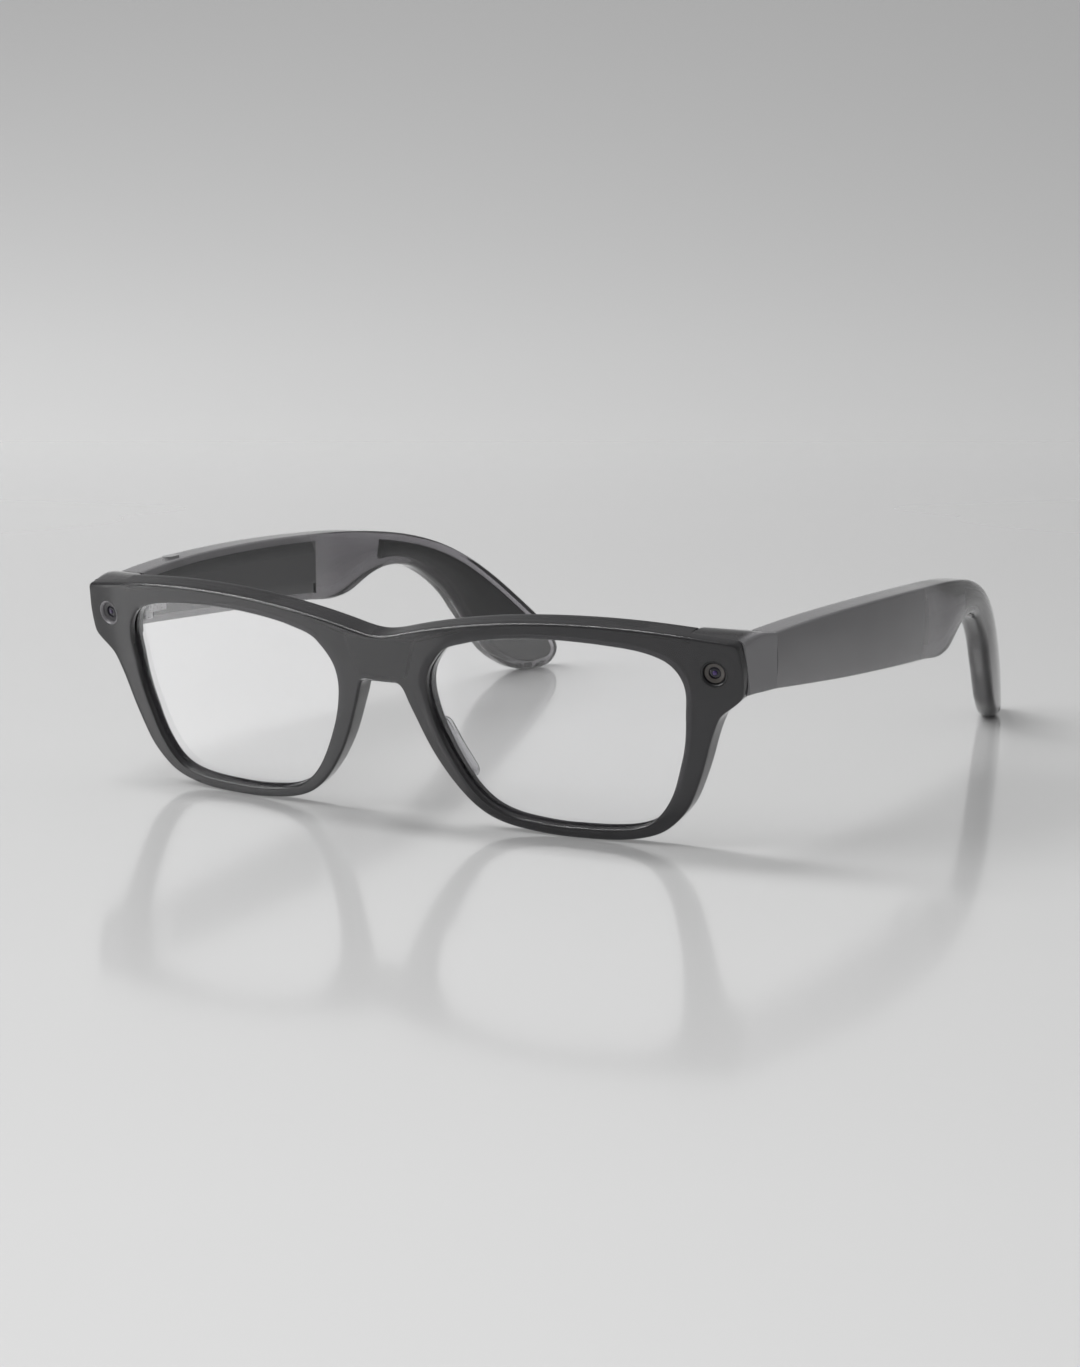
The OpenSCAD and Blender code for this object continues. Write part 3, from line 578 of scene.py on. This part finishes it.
def build_grille(name, side):
    """Speaker grille on the lower face: a rounded plate with five holes."""
    s = Shape()
    y0, x0 = 73.5, BOW_X - BOW_T / 2 - 0.25
    slope = math.tan(math.radians(-3.6))

    def put(u, v, h):
        y = y0 + v
        return (x0 + u, y + FRONT_Y, 27.06 + slope * v - h)

    pill = []
    for k in range(48):
        a = math.pi * 2 * k / 48
        pill.append((1.1 * math.cos(a), 1.1 * math.sin(a) + (3.4 if math.sin(a) >= 0 else -3.4)))
    rows = [s.row([put(u * f, v * (1 - (1 - f) * 0.3), h) for u, v in pill])
            for f, h in ((1, -0.4), (1, 0.0), (0.93, 0.08))]
    s.rows(rows, True)
    s.fan(rows[0], True)
    s.fan(rows[-1])
    plate = s.build(name, 40, flip_x=side < 0)
    for i in range(-2, 3):
        h = Shape()
        turns = np.linspace(0, 2 * math.pi, 24, endpoint=False)
        ring = [h.row([put(0.5 * math.cos(a), i * 1.6 + 0.5 * math.sin(a), d) for a in turns])
                for d in (0.3, -0.2)]
        h.rows(ring, True)
        h.fan(ring[0])
        h.fan(ring[1], True)
        cut(plate, h.build("cutter", 30, flip_x=side < 0))
    return plate


# ---------------------------------------------------------------- materials
def material(name, color, rough=0.3, metal=0.0, transmission=0.0, absorb=None, density=0.0, noise=9000.0,
             vary=0.04, rough_vary=0.02, bump=0.0002, coat=0.0, change=None):
    """Principled material with fine procedural variation of its colour, roughness and surface.

    change = (axis, start, end, color, transmission): between start and end, in metres along the axis, the
    plastic turns into one of that colour and transmission. Along X it does so on both sides alike.
    """
    mat = bpy.data.materials.new(name)
    mat.use_nodes = True
    nt = mat.node_tree
    out, p = nt.nodes["Material Output"], nt.nodes["Principled BSDF"]
    coord = nt.nodes.new("ShaderNodeTexCoord")

    def node(kind, **values):
        n = nt.nodes.new("ShaderNode" + kind)
        for key, value in values.items():
            n.inputs[key.replace("_", " ")].default_value = value
        return n

    def link(a, b):
        nt.links.new(a, b)

    fine, broad = node("TexNoise", Scale=noise, Detail=4), node("TexNoise", Scale=38, Detail=2)
    link(coord.outputs["Object"], fine.inputs["Vector"])
    link(coord.outputs["Object"], broad.inputs["Vector"])
    shade = node("MapRange", From_Min=0.3, From_Max=0.7, To_Min=1 - vary, To_Max=1 + vary)
    link(broad.outputs["Fac"], shade.inputs["Value"])
    tint = nt.nodes.new("ShaderNodeVectorMath")
    tint.operation = "SCALE"
    tint.inputs[0].default_value = color
    link(shade.outputs["Result"], tint.inputs["Scale"])
    link(tint.outputs["Vector"], p.inputs["Base Color"])
    gloss = node("MapRange", From_Min=0.3, From_Max=0.7, To_Min=max(0.0, rough - rough_vary),
                 To_Max=rough + rough_vary)
    link(fine.outputs["Fac"], gloss.inputs["Value"])
    link(gloss.outputs["Result"], p.inputs["Roughness"])
    if bump:
        b = node("Bump", Strength=0.25, Distance=bump / 1000)
        link(fine.outputs["Fac"], b.inputs["Height"])
        link(b.outputs["Normal"], p.inputs["Normal"])
    p.inputs["Metallic"].default_value = metal
    p.inputs["IOR"].default_value = 1.49
    p.inputs["Transmission Weight"].default_value = transmission
    p.inputs["Coat Weight"].default_value = coat
    p.inputs["Coat Roughness"].default_value = 0.03
    if change:
        axis, start, end, color_b, transmission_b = change
        split, size = nt.nodes.new("ShaderNodeSeparateXYZ"), nt.nodes.new("ShaderNodeMath")
        link(coord.outputs["Object"], split.inputs[0])
        size.operation = "ABSOLUTE" if axis == "X" else "ADD"
        link(split.outputs[axis], size.inputs[0])
        size.inputs[1].default_value = 0
        here = node("MapRange", From_Min=start, From_Max=end)
        here.interpolation_type = "SMOOTHSTEP"
        link(size.outputs[0], here.inputs["Value"])
        mix = nt.nodes.new("ShaderNodeMix")
        mix.data_type = "RGBA"
        link(here.outputs["Result"], mix.inputs[0])
        mix.inputs[6].default_value, mix.inputs[7].default_value = (*color, 1), (*color_b, 1)
        link(mix.outputs[2], tint.inputs[0])
        weight = node("MapRange", To_Min=transmission, To_Max=transmission_b)
        link(here.outputs["Result"], weight.inputs["Value"])
        link(weight.outputs["Result"], p.inputs["Transmission Weight"])
    if absorb is not None:
        v = node("VolumeAbsorption", Color=(*absorb, 1), Density=density)
        link(v.outputs["Volume"], out.inputs["Volume"])
    return mat


SMOKE = (0.02, 0.0, 0.03)  # what the dark plastic lets through as it gets thick
M = {
    "frame": material("frame_plastic", (0.082, 0.08, 0.087), 0.05, transmission=0.8, absorb=SMOKE, density=520),
    "block": material("end_block_plastic", (0.135, 0.132, 0.14), 0.06, transmission=0.8, absorb=SMOKE, density=350,
                      change=("X", 0.0735, 0.0752, (0.42, 0.415, 0.43), 0.55)),
    "temple": material("temple_plastic", (0.36, 0.355, 0.366), 0.05, transmission=0.5, absorb=SMOKE, density=230,
                       change=("Y", (FRONT_Y + 72) / 1000, (FRONT_Y + 90) / 1000, (0.76, 0.75, 0.77), 0.97)),
    "pad": material("pad_plastic", (0.8, 0.8, 0.82), 0.1, transmission=0.9, absorb=(0.3, 0.3, 0.32), density=220),
    "strip": material("rear_strip_plastic", (0.03, 0.03, 0.032), 0.25, coat=0.3),
    "cover": material("cover_plastic", (0.032, 0.032, 0.034), 0.2, coat=0.5),
    "lens": material("lens_glass", (0.995, 0.995, 1.0), 0.0, transmission=1, absorb=(0.7, 0.72, 0.72), density=3,
                     vary=0.0, rough_vary=0.0, bump=0),
    "insert": material("insert_plastic", (0.012, 0.012, 0.014), 0.45),
    "core": material("core_plastic", (0.01, 0.01, 0.011), 0.35),
    "barrel": material("barrel_plastic", (0.012, 0.012, 0.014), 0.5),
    "board": material("board_green", (0.025, 0.05, 0.04), 0.45, noise=2400, vary=0.3),
    "steel": material("hinge_steel", (0.42, 0.42, 0.43), 0.32, metal=1, noise=3000, rough_vary=0.1, bump=0.002),
    "pin": material("pin_steel", (0.35, 0.35, 0.36), 0.3, metal=1, noise=3000, rough_vary=0.1),
    "battery": material("battery_wrap", (0.045, 0.045, 0.048), 0.4),
    "speaker": material("speaker_plastic", (0.04, 0.04, 0.042), 0.5),
    "grille": material("grille_plastic", (0.015, 0.015, 0.016), 0.5, noise=2500),
    "flex": material("flex_copper", (0.045, 0.035, 0.025), 0.4),
    "gold": material("contact_gold", (0.75, 0.55, 0.25), 0.25, metal=1),
    "switch": material("switch_steel", (0.4, 0.4, 0.4), 0.35, metal=1, noise=3000),
    "knob": material("knob_plastic", (0.02, 0.02, 0.022), 0.35),
    "button": material("button_plastic", (0.3, 0.3, 0.303), 0.2, coat=0.4),
    # The camera trim is near-black: painted shade of the gap round the camera.
    "camera_trim": material("camera_trim", (0.006, 0.006, 0.007), 0.2),
    "light_trim": material("light_trim", (0.16, 0.155, 0.165), 0.2, coat=0.3),
    "camera_bezel": material("camera_bezel", (0.07, 0.062, 0.056), 0.35),
    "light_bezel": material("light_bezel", (0.03, 0.028, 0.032), 0.35),
    "black_glass": material("black_glass", (0.006, 0.005, 0.012), 0.05),
    "camera_glass": material("camera_glass", (0.04, 0.012, 0.13), 0.04, vary=0.5, coat=0.5),
    "light_glass": material("light_glass", (0.03, 0.015, 0.06), 0.05, vary=0.4, coat=0.5),
}


def paint(obj, key):
    obj.data.materials.clear()
    obj.data.materials.append(M[key])
    return obj


# ---------------------------------------------------------------- camera
cam = bpy.data.cameras.new("camera")
cam.lens, cam.sensor_fit, cam.sensor_width, cam.sensor_height = 86.15, "AUTO", 36, 36
cam.clip_start, cam.clip_end = 0.01, 50
camera = bpy.data.objects.new("camera", cam)
bpy.context.scene.collection.objects.link(camera)
az, el = math.radians(30), math.radians(10.66)
back = Vector((math.sin(az) * math.cos(el), -math.cos(az) * math.cos(el), math.sin(el)))
camera.location = (0.3404, -0.5334 + FRONT_Y / 1000, 0.1460)
camera.rotation_mode = "QUATERNION"
camera.rotation_quaternion = (-back).to_track_quat("-Z", "Y")
bpy.context.scene.camera = camera

# ---------------------------------------------------------------- pieces
front = build_front()
for side in (1, -1):
    cut(front, rebate_cutter(side))
    bore = [(0, -1), (MODULE_BORE, -1), (MODULE_BORE, 1.25), (0, 1.25)]
    cut(front, lathe("cutter", bore, module_axes(side), closed=False))
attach(paint(front, "frame"), "front")
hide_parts("front_frame")

for word, side in (("left", 1), ("right", -1)):
    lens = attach(paint(build_lens(f"lens_{word}_glass", side), "lens"), "front")
    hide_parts(f"lens_{word}")
    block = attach(paint(build_end_block(f"end_block_{word}_skin", side), "block"), "front")
    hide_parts(f"end_block_{word}")
    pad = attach(paint(build_pad(f"nose_pad_{word}_skin", side), "pad"), "front")
    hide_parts(f"nose_pad_{word}")
    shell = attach(paint(build_temple(f"temple_shell_{word}_skin", side), "temple"), f"temple_{word}")
    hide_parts(f"temple_shell_{word}")
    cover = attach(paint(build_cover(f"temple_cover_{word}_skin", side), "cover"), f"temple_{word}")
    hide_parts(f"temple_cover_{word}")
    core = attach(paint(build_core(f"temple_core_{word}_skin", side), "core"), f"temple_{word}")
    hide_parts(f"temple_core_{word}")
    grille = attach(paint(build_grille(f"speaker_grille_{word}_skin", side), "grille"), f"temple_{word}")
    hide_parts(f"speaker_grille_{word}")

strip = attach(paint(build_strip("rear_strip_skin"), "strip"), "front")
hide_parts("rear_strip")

# Turned profiles of the camera and light modules, as (radius, depth below the front face).
RING = [
    (2.0, 0.7), (2.04, 0.5), (2.14, 0.3), (2.3, 0.1), (2.42, 0.02), (2.5, 0.0), (2.57, 0.03), (2.6, 0.1),
    (2.6, 1.2), (2.0, 1.2)]
BEZEL = [
    (1.2, 1.0), (1.2, 0.86), (1.24, 0.8), (1.3, 0.78), (1.55, 0.74), (1.6, 0.7), (1.66, 0.69), (1.86, 0.62),
    (1.93, 0.62), (1.97, 0.68), (1.97, 1.15), (1.25, 1.15)]
DOME = [(0.5, 0.82), (0.6, 0.8), (0.8, 0.84), (1.05, 0.93), (1.17, 1.0), (1.17, 1.15), (0.5, 1.15)]
PUPIL = [(0, 0.5), (0.15, 0.51), (0.3, 0.56), (0.42, 0.64), (0.49, 0.74), (0.5, 0.82), (0.5, 1.1), (0, 1.1)]
for word, side, node in (("camera", 1, "camera_lens"), ("light", -1, "light_window")):
    axes = module_axes(side)
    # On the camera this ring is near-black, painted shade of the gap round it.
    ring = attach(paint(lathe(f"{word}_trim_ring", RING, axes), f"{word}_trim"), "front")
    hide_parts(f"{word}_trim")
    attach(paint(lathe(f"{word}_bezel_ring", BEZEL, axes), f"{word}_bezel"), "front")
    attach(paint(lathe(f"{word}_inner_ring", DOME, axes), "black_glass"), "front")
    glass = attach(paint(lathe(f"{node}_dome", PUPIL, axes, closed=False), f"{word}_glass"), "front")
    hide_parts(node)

PAINT = {
    "bridge_insert": "insert", "flat_cable": "flex", "charge_contacts": "gold", "camera_barrel": "barrel",
    "light_housing": "barrel", "camera_board": "board", "light_board": "board", "main_board": "board",
    "battery_left": "battery", "battery_right": "battery", "speaker_left": "speaker", "speaker_right": "speaker",
    "touch_strip": "flex", "switch_body": "switch",
    "power_switch": "knob", "tactile_element": "switch", "capture_button": "button"}
for word in ("left", "right"):
    PAINT[f"hinge_leaf_front_{word}"] = PAINT[f"hinge_leaf_temple_{word}"] = "steel"
    PAINT[f"hinge_pin_{word}"] = "pin"
for name, key in PAINT.items():
    obj = nodes[name]
    paint(obj, key)
    edge = {"power_switch": 0.25, "capture_button": 0.3}.get(name, 0.08)
    bevel = obj.modifiers.new("edges", "BEVEL")
    bevel.width, bevel.segments, bevel.limit_method = edge / 1000, 2, "ANGLE"
    bevel.angle_limit = math.radians(40)


# ---------------------------------------------------------------- stage and light
SWEEP_FROM, SWEEP_R = 600, 2000


def build_sweep():
    """A level floor that curves up into the backdrop."""
    s = Shape()
    rows = []
    for v in list(np.linspace(-3000, SWEEP_FROM, 37)) + list(np.linspace(SWEEP_FROM + 50, 2600, 60)):
        height = SWEEP_R - math.sqrt(max(0, SWEEP_R**2 - max(0, v - SWEEP_FROM) ** 2))
        rows.append(s.row([(x, v, height) for x in np.linspace(-4000, 4000, 41)]))
    s.rows(rows)
    return s.build("sweep", 180)


def floor_material():
    """A pale floor, glossy near the glasses and dull towards the backdrop; its colour is painted shade, darker away
    from the camera.
    """
    mat = bpy.data.materials.new("studio_floor")
    mat.use_nodes = True
    nt = mat.node_tree
    p = nt.nodes["Principled BSDF"]
    p.inputs["IOR"].default_value = 1.6
    p.inputs["Coat Roughness"].default_value = 0.13
    coord = nt.nodes.new("ShaderNodeTexCoord")
    far = nt.nodes.new("ShaderNodeVectorMath")
    far.operation = "DOT_PRODUCT"
    far.inputs[1].default_value = (-math.sin(az), math.cos(az), 0)
    nt.links.new(coord.outputs["Object"], far.inputs[0])
    # Base Color falls from 0.79 near to 0.64 away: painted shade of the light's falloff towards the backdrop.
    for socket, near, away in (("Base Color", 0.79, 0.64), ("Coat Weight", 1.0, 0.0), ("Roughness", 0.09, 0.6),
                               ("Specular IOR Level", 0.5, 0.1)):
        fade = nt.nodes.new("ShaderNodeMapRange")
        fade.interpolation_type = "SMOOTHSTEP"
        for name, value in (("From Min", 0.25), ("From Max", 1.1), ("To Min", near), ("To Max", away)):
            fade.inputs[name].default_value = value
        nt.links.new(far.outputs["Value"], fade.inputs["Value"])
        nt.links.new(fade.outputs["Result"], p.inputs[socket])
    return mat


floor = build_sweep()
floor.data.transform(Matrix.Rotation(az, 4, "Z"))
floor.data.flip_normals()
floor.data.materials.append(floor_material())


def area(name, where, aim, size, power, size_y=None):
    """An area light at where, turned to aim."""
    data = bpy.data.lights.new(name, "AREA")
    data.energy, data.size = power, size
    if size_y:
        data.shape, data.size_y = "RECTANGLE", size_y
    obj = bpy.data.objects.new(name, data)
    obj.location = where
    obj.rotation_mode = "QUATERNION"
    obj.rotation_quaternion = (Vector(aim) - Vector(where)).to_track_quat("-Z", "Y")
    bpy.context.scene.collection.objects.link(obj)


area("top", (-0.55, -0.35, 1.1), (0, 0, 0), 1.2, 7)
area("left", (-1.2, -1.1, 0.8), (0, 0, 0), 1.0, 11)
area("left_strip", (-0.6, -0.05, 1.03), (0, 0, 0.03), 0.22, 8, 1.0)
world = bpy.data.worlds.new("world")
world.use_nodes = True
world.node_tree.nodes["Background"].inputs["Color"].default_value = (1, 1, 1, 1)
world.node_tree.nodes["Background"].inputs["Strength"].default_value = 0.37
bpy.context.scene.world = world
bpy.context.scene.view_settings.view_transform = "Standard"
